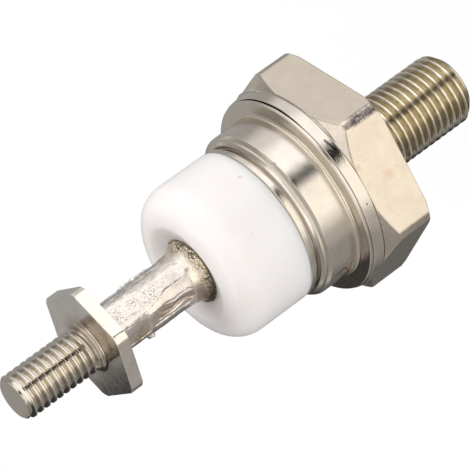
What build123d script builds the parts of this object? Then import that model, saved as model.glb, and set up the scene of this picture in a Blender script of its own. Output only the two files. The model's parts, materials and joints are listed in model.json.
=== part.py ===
from build123d import *
import os
from math import cos, radians, tan

# Rectifier diode with a hexagon base and mounting stud, a drawn can, a ceramic insulator, a crimped terminal
# tube and a threaded top terminal. All sizes are in millimetres.
# The origin is the centre of the base's seating face. +Z runs along the axis towards the top terminal, the
# mounting stud points along -Z, and two flats of the base face +Y and -Y.

# Base and mounting stud, turned from one hexagon bar of copper
HEX_ACROSS_FLATS = 26.8          # a 27 mm spanner size, less the bar's tolerance
HEX_CORNER_TRIM = 0.3            # turned off each sharp corner
HEX_HEIGHT = 6.5
SEAT_CHAMFER_ANGLE = 30.0        # from the seating face, in degrees
SEAT_CHAMFER_DEPTH = 0.4         # along the axis, at the corners
TOP_CHAMFER_ANGLE = 39.0         # from the top face, in degrees
STUD_DIAMETER = 9.525            # 3/8-24 UNF outside the thread
STUD_LENGTH = 17.3
STUD_END_CHAMFER = 1.0
STUD_RELIEF_DEPTH = 0.7125       # in radius, to below the root of the thread
STUD_RELIEF_LENGTH = 1.3         # below the seating face
SEAT_RECESS_MARGIN = 0.45        # in radius, round the stud
SEAT_RECESS_DEPTH = 0.4          # up into the seating face
PEDESTAL_GAP = 1.33              # from the wall of the can to the raised face that carries the wafer
PEDESTAL_HEIGHT = 2.3

# Steel ring brazed on the base, which takes the weld of the can
BASE_BRAZE_THICKNESS = 0.08
WELD_RING_OVERHANG = 0.2         # beyond the flats of the base
WELD_RING_HEIGHT = 1.55
WELD_RING_TAPER = 0.15           # the top edge is this much smaller in radius
WELD_RING_EDGE = 0.12
RING_CLEARANCE = 0.05            # between the ring and the pedestal

# Drawn can
CAN_WALL = 0.75
CAN_FLANGE_SETBACK = 0.3         # from the rim of the weld ring's foot
CAN_FLANGE_WIDTH = 2.02          # from the wall's outside to the flange's rim
CAN_FLANGE_THICKNESS = 0.45
CAN_FLANGE_EDGE = 0.18
CAN_FOOT_RADIUS = 0.45           # outside, between the wall and the flange
CAN_HEIGHT = 5.75                # from the underside of the flange to the mouth
CAN_SHOULDER_WIDTH = 0.88        # in radius, of the sloping shoulder round the mouth
CAN_SHOULDER_DEPTH = 0.93        # of the same slope, along the axis
CAN_SHOULDER_EDGE = 0.15         # rounding of the shoulder's two edges
CAN_ROOF_RADIUS = 0.5            # inside, between the wall and the shoulder

# Sealing ring between the can's mouth and the ceramic
SEAL_BAND_SETBACK = 0.9          # from the can's outside
SEAL_BAND_HEIGHT = 0.8
SEAL_GROOVE_DEPTH = 0.55
SEAL_GROOVE_WIDTH = 0.6
SEAL_TAIL_LENGTH = 1.6           # inside the can's mouth
SEAL_WALL = 1.5
SEAL_EDGE = 0.14
SEAL_CLEARANCE = 0.02            # between the tail and the can's mouth
CERAMIC_BRAZE_THICKNESS = 0.1

# Ceramic insulator
CERAMIC_OVERHANG = 0.05          # beyond the sealing ring's band
CERAMIC_LENGTH = 10.6
CERAMIC_DISH_DEPTH = 0.9         # fall of the front face towards the tube
CERAMIC_DISH_WIDTH = 2.2         # of the falling face, outside the braze
CERAMIC_CREST_WIDTH = 0.3        # flat between the dish and the rounding of the front edge
CERAMIC_REAR_RADIUS = 0.25
CERAMIC_WALL = 2.9
CERAMIC_ROOF = 4.2

# Terminal tube, crimped in two places
TUBE_DIAMETER = 6.6
TUBE_WALL = 0.78
TUBE_INSIDE_LENGTH = 5.2         # below the front of the ceramic
TUBE_CLEARANCE = 0.05            # between the tube and the hole in the ceramic
CRIMP_DEPTH = 0.29               # of the crimp over the terminal's shank
LEAD_CRIMP_DEPTH = 0.175         # of the crimp over the flexible lead
CRIMP_LENGTH = 4.8               # of the crimp over the shank; the other takes the length that is left
CRIMP_END = 0.35                 # uncrimped length at the terminal end
CRIMP_GAP = 0.45                 # uncrimped ridge between the two crimps
CRIMP_FOOT = 0.2                 # uncrimped length above the braze
CRIMP_RAMP_ANGLE = 40.0          # slope of the ends of a crimp, in degrees
FLASH_HEIGHT = 0.2               # fin squeezed out between the crimping dies
FLASH_THICKNESS = 0.3
FLASH_MARGIN = 0.6               # from each end of a crimp to the fin

# Braze fillet between the tube and the ceramic
TERMINAL_BRAZE_WIDTH = 1.05      # in radius, from the tube
TERMINAL_BRAZE_HEIGHT = 2.0
TERMINAL_BRAZE_HOLLOW = 0.17     # how far the fillet's face curves in
TERMINAL_BRAZE_LIP = 0.12        # thickness at its outer edge

# Top terminal: threaded stud, hexagon plate and the shank inside the tube
TERMINAL_ACROSS_FLATS = 13.8     # a 14 mm spanner size, less tolerance
TERMINAL_CORNER_TRIM = 0.27
TERMINAL_PLATE_THICKNESS = 1.75
TERMINAL_PLATE_EDGE = 0.12
TERMINAL_PLATE_TURN = 37.5       # of its corners from those of the base, in degrees
TERMINAL_STANDOFF = 13.6         # from the ceramic to the underside of the plate
TERMINAL_DIAMETER = 5.96         # M6 outside the thread
TERMINAL_LENGTH = 11.35          # above the plate
TERMINAL_END_CHAMFER = 0.55
TERMINAL_NECK_DEPTH = 0.38       # in radius, below the thread
TERMINAL_NECK_LENGTH = 1.25
TERMINAL_NECK_RADIUS = 0.8       # fillet between the neck and the plate
SHANK_LENGTH = 5.0
SHANK_CLEARANCE = 0.02

# Rectifying stack inside the can
BASE_SOLDER_THICKNESS = 0.12
LOWER_DISC_SETBACK = 1.0         # from the edge of the pedestal
LOWER_DISC_THICKNESS = 1.2
WAFER_ALLOY_THICKNESS = 0.06
WAFER_SETBACK = 0.4              # from the edge of the lower disc
WAFER_THICKNESS = 0.35
UPPER_SOLDER_THICKNESS = 0.08
UPPER_DISC_SETBACK = 1.6         # from the edge of the wafer
UPPER_DISC_THICKNESS = 0.6
COATING_HEIGHT = 0.45            # above the wafer
CUP_SOLDER_THICKNESS = 0.1

# Contact cup and flexible lead
CUP_WALL = 0.92
CUP_FLOOR = 0.7
CUP_DEPTH = 2.8
CUP_EDGE = 0.2
LEAD_TUBE_CLEARANCE = 0.07       # in the terminal tube
LEAD_CLEARANCE = 0.03            # in the cup
LEAD_CRIMP_GAP = 0.15            # between the lead's end and the shank

# Heights of the seats, from the seating face of the base
ring_seat = HEX_HEIGHT + BASE_BRAZE_THICKNESS
flange_seat = ring_seat + WELD_RING_HEIGHT
can_mouth = flange_seat + CAN_HEIGHT
seal_band_foot = can_mouth + SEAL_GROOVE_WIDTH
seal_top = seal_band_foot + SEAL_BAND_HEIGHT
ceramic_seat = seal_top + CERAMIC_BRAZE_THICKNESS
ceramic_front = ceramic_seat + CERAMIC_LENGTH
braze_seat = ceramic_front - CERAMIC_DISH_DEPTH
plate_seat = ceramic_front + TERMINAL_STANDOFF
plate_face = plate_seat + TERMINAL_PLATE_THICKNESS
terminal_end = plate_face + TERMINAL_LENGTH
pedestal_top = HEX_HEIGHT + PEDESTAL_HEIGHT
lower_disc_seat = pedestal_top + BASE_SOLDER_THICKNESS
wafer_alloy_seat = lower_disc_seat + LOWER_DISC_THICKNESS
wafer_seat = wafer_alloy_seat + WAFER_ALLOY_THICKNESS
upper_solder_seat = wafer_seat + WAFER_THICKNESS
upper_disc_seat = upper_solder_seat + UPPER_SOLDER_THICKNESS
cup_solder_seat = upper_disc_seat + UPPER_DISC_THICKNESS
cup_seat = cup_solder_seat + CUP_SOLDER_THICKNESS
lead_foot = cup_seat + CUP_FLOOR
shank_end = plate_seat - SHANK_LENGTH
lead_top = shank_end - LEAD_CRIMP_GAP

# Heights along the tube
tube_foot = ceramic_front - TUBE_INSIDE_LENGTH
braze_crest = braze_seat + TERMINAL_BRAZE_HEIGHT
crimp_top = plate_seat - CRIMP_END
crimp_foot = crimp_top - CRIMP_LENGTH
lead_crimp_top = crimp_foot - CRIMP_GAP
lead_crimp_foot = braze_crest + CRIMP_FOOT

# Radii, from the outside inwards
stud_radius = STUD_DIAMETER / 2
weld_ring_rim = HEX_ACROSS_FLATS / 2 + WELD_RING_OVERHANG
flange_rim = weld_ring_rim - CAN_FLANGE_SETBACK
can_outside = flange_rim - CAN_FLANGE_WIDTH
can_inside = can_outside - CAN_WALL
seal_band_rim = can_outside - SEAL_BAND_SETBACK
seal_tail_rim = seal_band_rim - SEAL_GROOVE_DEPTH
seal_bore = seal_tail_rim - SEAL_WALL
ceramic_outside = seal_band_rim + CERAMIC_OVERHANG
pedestal_rim = can_inside - PEDESTAL_GAP
weld_ring_bore = pedestal_rim + RING_CLEARANCE
lower_disc_rim = pedestal_rim - LOWER_DISC_SETBACK
wafer_rim = lower_disc_rim - WAFER_SETBACK
upper_disc_rim = wafer_rim - UPPER_DISC_SETBACK
tube_outside = TUBE_DIAMETER / 2
tube_bore = tube_outside - TUBE_WALL
braze_rim = tube_outside + TERMINAL_BRAZE_WIDTH
lead_outside = tube_bore - LEAD_TUBE_CLEARANCE
cup_bore = lead_outside + LEAD_CLEARANCE
cup_outside = cup_bore + CUP_WALL


def corner_radius(across_flats):
    """Radius of a sharp hexagon's corners."""
    return across_flats / 2 / cos(radians(30))


def turned(points, rounds=()):
    """Solid of revolution from a half-section's (radius, height) points, some of its corners rounded."""
    section = make_face(Polyline(*points, close=True))
    for corner, radius in rounds:
        vertex = section.vertices().sort_by_distance((*corner, 0))[0]
        section = fillet(vertex, radius)
    return revolve(Plane.XZ * section, Axis.Z)


def disc(radius, thickness, seat):
    """Flat round disc that lies on the given height."""
    return Pos(0, 0, seat + thickness / 2) * Cylinder(radius, thickness)


def hexagon_prism(across_flats, foot, top):
    """Hexagon bar between two heights, with two flats facing +Y and -Y."""
    outline = RegularPolygon(corner_radius(across_flats), 6)
    return Pos(0, 0, foot) * extrude(outline, top - foot)


def hex_base():
    """Base with chamfered hexagon, pedestal, recessed seating face and mounting stud, all one piece."""
    corner = corner_radius(HEX_ACROSS_FLATS) - HEX_CORNER_TRIM
    seat_radius = corner - SEAT_CHAMFER_DEPTH / tan(radians(SEAT_CHAMFER_ANGLE))
    top_chamfer = (corner - weld_ring_rim) * tan(radians(TOP_CHAMFER_ANGLE))
    envelope = turned([
        (0, 0), (seat_radius, 0), (corner, SEAT_CHAMFER_DEPTH), (corner, HEX_HEIGHT - top_chamfer),
        (weld_ring_rim, HEX_HEIGHT), (0, HEX_HEIGHT),
    ])
    base = hexagon_prism(HEX_ACROSS_FLATS, 0, HEX_HEIGHT) & envelope
    base -= disc(stud_radius + SEAT_RECESS_MARGIN, SEAT_RECESS_DEPTH, 0)
    pedestal = disc(pedestal_rim, PEDESTAL_HEIGHT, HEX_HEIGHT)
    relief_radius = stud_radius - STUD_RELIEF_DEPTH
    stud = turned([
        (0, SEAT_RECESS_DEPTH), (relief_radius, SEAT_RECESS_DEPTH), (relief_radius, -STUD_RELIEF_LENGTH),
        (stud_radius, -STUD_RELIEF_LENGTH - STUD_RELIEF_DEPTH),
        (stud_radius, -STUD_LENGTH + STUD_END_CHAMFER), (stud_radius - STUD_END_CHAMFER, -STUD_LENGTH),
        (0, -STUD_LENGTH),
    ])
    return base + pedestal + stud


def base_braze_ring():
    """Thin layer of braze between the base and the weld ring."""
    ring = disc(weld_ring_rim, BASE_BRAZE_THICKNESS, HEX_HEIGHT)
    return ring - disc(weld_ring_bore, BASE_BRAZE_THICKNESS, HEX_HEIGHT)


def weld_ring():
    """Tapered steel ring round the pedestal."""
    top_radius = weld_ring_rim - WELD_RING_TAPER
    return turned([
        (weld_ring_bore, ring_seat), (weld_ring_rim, ring_seat), (top_radius, flange_seat - WELD_RING_EDGE),
        (top_radius - WELD_RING_EDGE, flange_seat), (weld_ring_bore, flange_seat),
    ])


def housing_can():
    """Drawn can with an outward flange at its foot and a sloping shoulder round its mouth."""
    flange_top = flange_seat + CAN_FLANGE_THICKNESS
    mouth = seal_tail_rim + SEAL_CLEARANCE
    foot_corner = (can_outside, flange_top)
    shoulder_foot = (can_outside, can_mouth - CAN_SHOULDER_DEPTH)
    shoulder_top = (can_outside - CAN_SHOULDER_WIDTH, can_mouth)
    flange_corner = (flange_rim, flange_top)
    roof_corner = (can_inside, can_mouth - CAN_WALL)
    return turned(
        [
            (can_inside, flange_seat), (flange_rim, flange_seat), flange_corner, foot_corner,
            shoulder_foot, shoulder_top, (mouth, can_mouth), (mouth, can_mouth - CAN_WALL), roof_corner,
        ],
        [
            (foot_corner, CAN_FOOT_RADIUS), (shoulder_foot, CAN_SHOULDER_EDGE),
            (shoulder_top, CAN_SHOULDER_EDGE), (flange_corner, CAN_FLANGE_EDGE),
            (roof_corner, CAN_ROOF_RADIUS),
        ],
    )


def sealing_ring():
    """Ring with a tail in the can's mouth, a groove, and a band that carries the ceramic."""
    upper_corner = (seal_band_rim, seal_top)
    lower_corner = (seal_band_rim, seal_band_foot)
    return turned(
        [
            (seal_bore, can_mouth - SEAL_TAIL_LENGTH), (seal_tail_rim, can_mouth - SEAL_TAIL_LENGTH),
            (seal_tail_rim, seal_band_foot), lower_corner, upper_corner, (seal_bore, seal_top),
        ],
        [(upper_corner, SEAL_EDGE), (lower_corner, SEAL_EDGE)],
    )


def ceramic_braze():
    """Thin layer of braze between the sealing ring and the ceramic's metallised end."""
    layer = disc(seal_band_rim - SEAL_EDGE, CERAMIC_BRAZE_THICKNESS, seal_top)
    return layer - disc(seal_bore, CERAMIC_BRAZE_THICKNESS, seal_top)


def ceramic_insulator():
    """Ceramic cap with a well-rounded front that is dished round its hole, and an open rear."""
    inside = ceramic_outside - CERAMIC_WALL
    hole = tube_outside + TUBE_CLEARANCE
    roof = ceramic_front - CERAMIC_ROOF
    dish_rim = braze_rim + CERAMIC_DISH_WIDTH
    front_rounding = ceramic_outside - dish_rim - CERAMIC_CREST_WIDTH
    front_corner = (ceramic_outside, ceramic_front)
    rear_corner = (ceramic_outside, ceramic_seat)
    return turned(
        [
            (inside, ceramic_seat), rear_corner, front_corner, (dish_rim, ceramic_front),
            (braze_rim, braze_seat), (hole, braze_seat), (hole, roof), (inside, roof),
        ],
        [(front_corner, front_rounding), (rear_corner, CERAMIC_REAR_RADIUS)],
    )


def crimp_form(depth, foot, top):
    """Hexagon form with flared ends, which leaves a crimp where it meets the round tube."""
    across_flats = TUBE_DIAMETER - 2 * depth
    outline = RegularPolygon(corner_radius(across_flats), 6)
    flare = 2 * depth / tan(radians(CRIMP_RAMP_ANGLE))
    middle = hexagon_prism(across_flats, foot + flare, top - flare)
    upper = Pos(0, 0, top - flare) * extrude(outline, flare, taper=-CRIMP_RAMP_ANGLE)
    lower = mirror(Pos(0, 0, -foot - flare) * extrude(outline, flare, taper=-CRIMP_RAMP_ANGLE), Plane.XY)
    return Rot(0, 0, TERMINAL_PLATE_TURN) * (lower + middle + upper)


def terminal_tube():
    """Round tube with one hexagonal crimp over the terminal's shank and one over the flexible lead."""
    tube = disc(tube_outside, plate_seat - tube_foot, tube_foot)
    for depth, foot, top in (
        (CRIMP_DEPTH, crimp_foot, crimp_top),
        (LEAD_CRIMP_DEPTH, lead_crimp_foot, lead_crimp_top),
    ):
        tube -= disc(TUBE_DIAMETER, top - foot, foot) - crimp_form(depth, foot, top)
        fin = Box(2 * FLASH_HEIGHT, FLASH_THICKNESS, top - foot - 2 * FLASH_MARGIN)
        for corner in (60, 240):
            turn = Rot(0, 0, TERMINAL_PLATE_TURN + corner)
            tube += turn * Pos(tube_outside, 0, (foot + top) / 2) * fin
    return tube - disc(tube_bore, plate_seat - tube_foot, tube_foot)


def terminal_braze():
    """Fillet of braze with a hollow face, between the tube and the ceramic's dished front."""
    lip = (braze_rim, braze_seat + TERMINAL_BRAZE_LIP)
    crest = (tube_outside, braze_crest)
    hollow = (
        (lip[0] + crest[0]) / 2 - TERMINAL_BRAZE_HOLLOW,
        (lip[1] + crest[1]) / 2 - TERMINAL_BRAZE_HOLLOW,
    )
    face = make_face(
        Polyline(crest, (tube_outside, braze_seat), (braze_rim, braze_seat), lip)
        + ThreePointArc(lip, hollow, crest)
    )
    return revolve(Plane.XZ * face, Axis.Z)


def terminal_stud():
    """Threaded stud, neck, hexagon plate with turned corners and crimped shank, all one piece."""
    corner = corner_radius(TERMINAL_ACROSS_FLATS) - TERMINAL_CORNER_TRIM
    edge = TERMINAL_PLATE_EDGE
    envelope = turned([
        (0, plate_seat), (corner - edge, plate_seat), (corner, plate_seat + edge),
        (corner, plate_face - edge), (corner - edge, plate_face), (0, plate_face),
    ])
    hexagon = hexagon_prism(TERMINAL_ACROSS_FLATS, plate_seat, plate_face)
    plate = Rot(0, 0, TERMINAL_PLATE_TURN) * hexagon & envelope
    crest = TERMINAL_DIAMETER / 2
    neck = crest - TERMINAL_NECK_DEPTH
    thread_foot = plate_face + TERMINAL_NECK_LENGTH
    neck_top = thread_foot - TERMINAL_NECK_DEPTH
    neck_foot = (neck, plate_face)
    neck_fillet = min(TERMINAL_NECK_RADIUS, 0.95 * (neck_top - plate_face))
    spread = neck + 2 * neck_fillet
    stud = turned(
        [
            (0, plate_seat), (spread, plate_seat), (spread, plate_face), neck_foot,
            (neck, neck_top), (crest, thread_foot), (crest, terminal_end - TERMINAL_END_CHAMFER),
            (crest - TERMINAL_END_CHAMFER, terminal_end), (0, terminal_end),
        ],
        [(neck_foot, neck_fillet)],
    )
    shank = disc(tube_bore - SHANK_CLEARANCE, SHANK_LENGTH, shank_end)
    return plate + stud + shank


def base_solder():
    """Solder between the pedestal and the lower disc."""
    return disc(lower_disc_rim, BASE_SOLDER_THICKNESS, pedestal_top)


def lower_molybdenum_disc():
    """Molybdenum disc that the wafer is alloyed to."""
    return disc(lower_disc_rim, LOWER_DISC_THICKNESS, lower_disc_seat)


def wafer_alloy():
    """Aluminium alloy layer between the lower disc and the wafer."""
    return disc(wafer_rim, WAFER_ALLOY_THICKNESS, wafer_alloy_seat)


def silicon_wafer():
    """Rectifying silicon wafer with a bevelled edge."""
    return turned([
        (0, wafer_seat), (wafer_rim, wafer_seat), (wafer_rim - WAFER_THICKNESS, upper_solder_seat),
        (0, upper_solder_seat),
    ])


def upper_solder():
    """Solder between the wafer and the upper disc."""
    return disc(upper_disc_rim, UPPER_SOLDER_THICKNESS, upper_solder_seat)


def upper_molybdenum_disc():
    """Molybdenum disc under the contact cup."""
    return disc(upper_disc_rim, UPPER_DISC_THICKNESS, upper_disc_seat)


def junction_coating():
    """Ring of insulating coating over the wafer's bevelled edge."""
    top = upper_solder_seat + COATING_HEIGHT
    return turned([
        (wafer_rim, wafer_alloy_seat), (lower_disc_rim, wafer_alloy_seat), (wafer_rim, top),
        (upper_disc_rim, top), (upper_disc_rim, upper_solder_seat),
        (wafer_rim - WAFER_THICKNESS, upper_solder_seat), (wafer_rim, wafer_seat),
    ])


def cup_solder():
    """Solder between the upper disc and the contact cup."""
    return disc(cup_outside, CUP_SOLDER_THICKNESS, cup_solder_seat)


def contact_cup():
    """Copper cup that holds the foot of the flexible lead."""
    rim = lead_foot + CUP_DEPTH
    rim_corner = (cup_outside, rim)
    return turned(
        [
            (0, cup_seat), (cup_outside, cup_seat), rim_corner, (cup_bore, rim), (cup_bore, lead_foot),
            (0, lead_foot),
        ],
        [(rim_corner, CUP_EDGE)],
    )


def flexible_lead():
    """Copper lead from the contact cup up into the terminal tube."""
    return disc(lead_outside, lead_top - lead_foot, lead_foot)


PIECES = (
    hex_base, base_braze_ring, weld_ring, housing_can, sealing_ring, ceramic_braze, ceramic_insulator,
    terminal_tube, terminal_braze, terminal_stud, base_solder, lower_molybdenum_disc, wafer_alloy,
    silicon_wafer, upper_solder, upper_molybdenum_disc, junction_coating, cup_solder, contact_cup,
    flexible_lead,
)

os.makedirs("parts", exist_ok=True)
for piece in PIECES:
    export_step(piece(), f"parts/{piece.__name__}.step")
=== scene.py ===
"""Looks of the stud rectifier diode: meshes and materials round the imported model, light and camera."""

import json
from math import acos, ceil, cos, hypot, pi, radians, sin, tan

import bmesh
import bpy
import numpy as np
from mathutils import Matrix, Quaternion, Vector, noise


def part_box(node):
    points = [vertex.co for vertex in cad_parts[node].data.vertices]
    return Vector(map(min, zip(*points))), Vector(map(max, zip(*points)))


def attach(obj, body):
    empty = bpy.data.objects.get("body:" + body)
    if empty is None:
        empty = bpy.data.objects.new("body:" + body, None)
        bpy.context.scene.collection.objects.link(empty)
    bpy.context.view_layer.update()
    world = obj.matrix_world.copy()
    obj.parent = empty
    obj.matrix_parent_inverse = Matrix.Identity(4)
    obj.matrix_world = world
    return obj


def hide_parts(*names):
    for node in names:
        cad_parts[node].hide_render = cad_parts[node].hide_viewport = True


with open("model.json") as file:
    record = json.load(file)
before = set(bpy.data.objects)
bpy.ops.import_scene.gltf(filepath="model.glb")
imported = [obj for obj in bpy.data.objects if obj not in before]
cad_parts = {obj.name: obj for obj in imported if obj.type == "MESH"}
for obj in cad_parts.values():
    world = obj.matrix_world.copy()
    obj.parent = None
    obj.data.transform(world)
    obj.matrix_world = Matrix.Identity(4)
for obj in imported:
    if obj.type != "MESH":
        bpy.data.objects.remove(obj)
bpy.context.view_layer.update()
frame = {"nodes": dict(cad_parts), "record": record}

MM = 0.001
MERGE_DISTANCE = 2e-6            # in metres
SHARP_ANGLE = 38                 # in degrees, from which an edge is shaded sharp
RING_COLUMNS = 256
THREAD_COLUMNS = 128


def node_box(name):
    """Lowest and highest corner of a CAD node, in millimetres."""
    low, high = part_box(name)
    return low / MM, high / MM


# Sizes in millimetres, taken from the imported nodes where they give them
base_low, base_high = node_box("hex_base")
ring_low, ring_high = node_box("weld_ring")
can_low, can_high = node_box("housing_can")
seal_low, seal_high = node_box("sealing_ring")
ceramic_low, ceramic_high = node_box("ceramic_insulator")
tube_low, tube_high = node_box("terminal_tube")
braze_low, braze_high = node_box("terminal_braze")
post_low, post_high = node_box("terminal_stud")

HEX_ACROSS_FLATS = base_high.y - base_low.y
HEX_CORNER = base_high.x
HEX_HEIGHT = 6.5
TOP_CHAMFER_ANGLE = 39.0
SEAT_CHAMFER_ANGLE = 30.0
SEAT_CHAMFER_DEPTH = 0.4
RECESS_RADIUS = 5.2125
RECESS_DEPTH = 0.4
PEDESTAL_RADIUS = 9.2
STUD_RADIUS = 4.7625
STUD_PITCH = 25.4 / 24
STUD_SHARES = (0.22, 0.08)       # of the crest and the root in the pitch
STUD_RELIEF_RADIUS = 4.05
STUD_RELIEF_LENGTH = 1.3
STUD_END_CHAMFER = 1.0

RING_RADIUS = ring_high.x
RING_TAPER = 0.15
RING_EDGE = 0.09
SEAM_GAP = 0.14                  # of the open seam under the can's flange, where it is widest
SEAM_AZIMUTH = 52.0
SEAM_REACH = (18, 42)            # degrees either side of it over which the seam closes
BRAZE_SIDE_AZIMUTH = 48.0        # middle of the side where braze stands out under the weld ring
FLANGE_RADIUS = can_high.x
FLANGE_THICKNESS = 0.45
CAN_RADIUS = 11.28
CAN_WALL = 0.75
CAN_MOUTH_RADIUS = 9.85
CAN_SHOULDER_WIDTH = 0.88
CAN_SHOULDER_DEPTH = 0.93
SEAL_BAND_RADIUS = seal_high.x
SEAL_BAND_HEIGHT = 0.8
SEAL_GROOVE_RADIUS = 9.83
SEAL_WALL = 1.5
CERAMIC_RADIUS = ceramic_high.x
CERAMIC_ROUNDING = 3.58
CERAMIC_WALL = 2.9
CERAMIC_ROOF = 4.2
CERAMIC_BORE = 3.35
DISH_RIM = 6.55                  # radius at which the ceramic's front begins to fall towards the tube
DISH_DEPTH = 0.9

TUBE_RADIUS = 3.3
TUBE_BORE = 2.52
CRIMPS = ((27.28, 33.98, 0.175), (34.43, 39.23, 0.29))  # foot, top and depth below the round tube
FLARE = 0.1                      # of the tube where the braze begins
FLARE_TOP = 28.8
BURR = (-99.0, 34.3)             # azimuth and height
FINS = ((86.0, 0.22, 29.7, 36.2), (217.5, 0.15, 28.0, 38.5))  # azimuth, height, foot and top
BRAZE_RADIUS = braze_high.x
PLATE_SEAT = tube_high.z
PLATE_FACE = PLATE_SEAT + 1.75
PLATE_ACROSS_FLATS = 13.8
PLATE_CORNER_TRIM = 0.27
PLATE_TURN = 37.5
POST_RADIUS = 2.98
POST_PITCH = 1.0
POST_SHARES = (0.26, 0.24)       # of the crest and the root in the pitch
POST_NECK_RADIUS = 2.96
POST_FILLET = 0.6
POST_THREAD_FOOT = PLATE_FACE + 0.65
POST_END_CHAMFER = 0.42

# The camera that was fitted to the photograph
FOCAL_LENGTH_PX = 3643.0
FRAME_PX = 470
CAMERA_DISTANCE = 441.8          # to the plane of the object's origin
CAMERA_OFFSET = (0.0305, 0.0209)  # of the origin from the picture's middle, over the distance
AXIS_TILT = 65.98                # of the object's axis from the line of sight, in degrees
AXIS_ROLL = 35.95                # of the axis in the picture, in degrees
NEAR_TURN = 11.97                # from the near side to a corner of the base, in degrees
PANEL_MIDDLE = (0, 0, 17)        # point of the part that lamps and cards face

# Colours, and marks that are placed by azimuth and height
WHITE = (1, 1, 1, 1)
NICKEL = (0.7, 0.64, 0.57)
DARK_NICKEL = (0.64, 0.58, 0.51)
TUBE_PLATE = (0.8, 0.745, 0.705)
SCRIBBLE = ((-80.0, 12.18), (-80.4, 11.41), (-78.6, 11.07), (-80.2, 10.48), (-89.4, 9.79), (-84.5, 9.71),
            (-79.1, 9.7))
ROUGH_PATCHES = (                # azimuth, height, size and soft share
    (2, 32.6, 1.7, 0.8), (5, 37.6, 1.6, 0.8), (-62, 36.0, 1.6, 0.9), (10, 34.8, 1.2, 0.9))

# Light: levels of 1 are white
AMBIENT = 0.54
LAMP_DISTANCE = 0.7              # in metres, as the next two
LAMP_SIZE = 0.5
FLOOR_RADIUS = 0.045
SURROUND_RADIUS = 750
SURROUND_PEAK = 1.5
EVEN, WARM = (1, 1, 1), (1, 0.97, 0.9)
SURROUND_STEPS = (               # first and last azimuth, level and tint
    (-180, -158, 0.14, EVEN), (-150, -135, 0.17, EVEN), (-112, -82, 0.38, EVEN), (-74, -62, 0.55, WARM),
    (-40, 0, 1.5, WARM), (20, 62, 1.5, EVEN), (76, 92, 0.95, EVEN), (110, 155, 0.44, EVEN))


def section(corners, step=0.5, arc_step=12):
    """Half-section through (radius, height, rounding) corners, as an array of (radius, height) points."""
    points = [corners[0][:2]]
    for before, (r, z, rounding), after in zip(corners, corners[1:], corners[2:]):
        here = np.array((r, z), float)
        back = np.array(before[:2]) - here
        forth = np.array(after[:2]) - here
        back /= hypot(*back)
        forth /= hypot(*forth)
        if rounding <= 0:
            points.append((r, z))
            continue
        half = acos(max(-1.0, min(1.0, float(back @ forth)))) / 2
        centre = here + (back + forth) / hypot(*(back + forth)) * rounding / sin(half)
        start = here + back * rounding / tan(half) - centre
        turn = pi - 2 * half
        side = 1 if start[1] * back[0] - start[0] * back[1] > 0 else -1
        pieces = max(2, ceil(turn / radians(arc_step)))
        for i in range(pieces + 1):
            a = side * turn * i / pieces
            points.append(tuple(centre + (
                start[0] * cos(a) - start[1] * sin(a), start[0] * sin(a) + start[1] * cos(a))))
    points.append(corners[-1][:2])
    dense = [points[0]]
    for (r0, z0), (r1, z1) in zip(points, points[1:]):
        pieces = max(1, ceil(hypot(r1 - r0, z1 - z0) / step))
        dense += [(r0 + (r1 - r0) * i / pieces, z0 + (z1 - z0) * i / pieces) for i in range(1, pieces + 1)]
    return np.array(dense)


def even_angles(count=RING_COLUMNS):
    """Angles all the way round, evenly spaced."""
    return np.arange(count) * 2 * pi / count


def placed(radius, height, angle):
    """Points in metres from radius and height in millimetres and angle."""
    return np.stack([radius * np.cos(angle), radius * np.sin(angle), height], -1) * MM


def add_rings(bm, points, shift=0):
    """Adds rings of points, joined into a capped skin; a shift steps the seam by rows, with open ends."""
    rows, columns = points.shape[:2]
    made = [[bm.verts.new(points[i, j]) for j in range(columns)] for i in range(rows)]
    for i in range(rows - 1):
        for j in range(columns):
            last = j == columns - 1
            k, up = ((0, shift) if last else (j + 1, 0))
            if i + 1 + up < rows:
                bm.faces.new((made[i][j], made[i + up][k], made[i + 1 + up][k], made[i + 1][j]))
    if not shift:
        for row, flip in ((made[0], True), (made[-1], False)):
            bm.faces.new(row[::-1] if flip else row)


def mesh_object(name, bm, material):
    """New object in the scene, from a mesh that has been built up."""
    mesh = bpy.data.meshes.new(name)
    bm.to_mesh(mesh)
    bm.free()
    mesh.materials.append(material)
    made = bpy.data.objects.new(name, mesh)
    bpy.context.scene.collection.objects.link(made)
    return made


def merge_points(bm):
    """Joins points that lie together, and drops edges and faces without size."""
    bmesh.ops.remove_doubles(bm, verts=bm.verts, dist=MERGE_DISTANCE)
    bmesh.ops.dissolve_degenerate(bm, edges=bm.edges, dist=MERGE_DISTANCE / 2)


def piece(name, bm, node, material):
    """Finished object that stands for a CAD node."""
    merge_points(bm)
    bmesh.ops.recalc_face_normals(bm, faces=bm.faces)
    made = mesh_object(name, bm, material)
    made.data.polygons.foreach_set("use_smooth", [True] * len(made.data.polygons))
    made.data.set_sharp_from_angle(angle=radians(SHARP_ANGLE))
    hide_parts(node)
    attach(made, "root")


def ring_piece(name, radius, height, angle, node, material):
    """Finished ring from rows of points round its outside; its bore joins the first row to the last."""
    bm = bmesh.new()
    add_rings(bm, placed(radius, height, angle))
    caps = [f for f in bm.faces if len(f.verts) > 4]
    rims = [e for f in caps for e in f.edges]
    bmesh.ops.delete(bm, geom=caps, context="FACES_ONLY")
    bmesh.ops.bridge_loops(bm, edges=rims)
    piece(name, bm, node, material)


def soft_min(a, b, blend):
    """Smaller of two, with a rounded changeover."""
    low = np.minimum(a, b)
    return low - blend * np.log(np.exp((low - a) / blend) + np.exp((low - b) / blend))


def soft_step(low, high, value):
    """Smooth rise from 0 at low to 1 at high."""
    t = np.clip((value - low) / (high - low), 0, 1)
    return t * t * (3 - 2 * t)


def hexagon_radius(angle, across_flats, turn):
    """Radius of a sharp hexagon in each direction; turn is a corner's direction in radians."""
    return across_flats / 2 / np.cos((angle - turn) % (pi / 3) - pi / 6)


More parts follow.
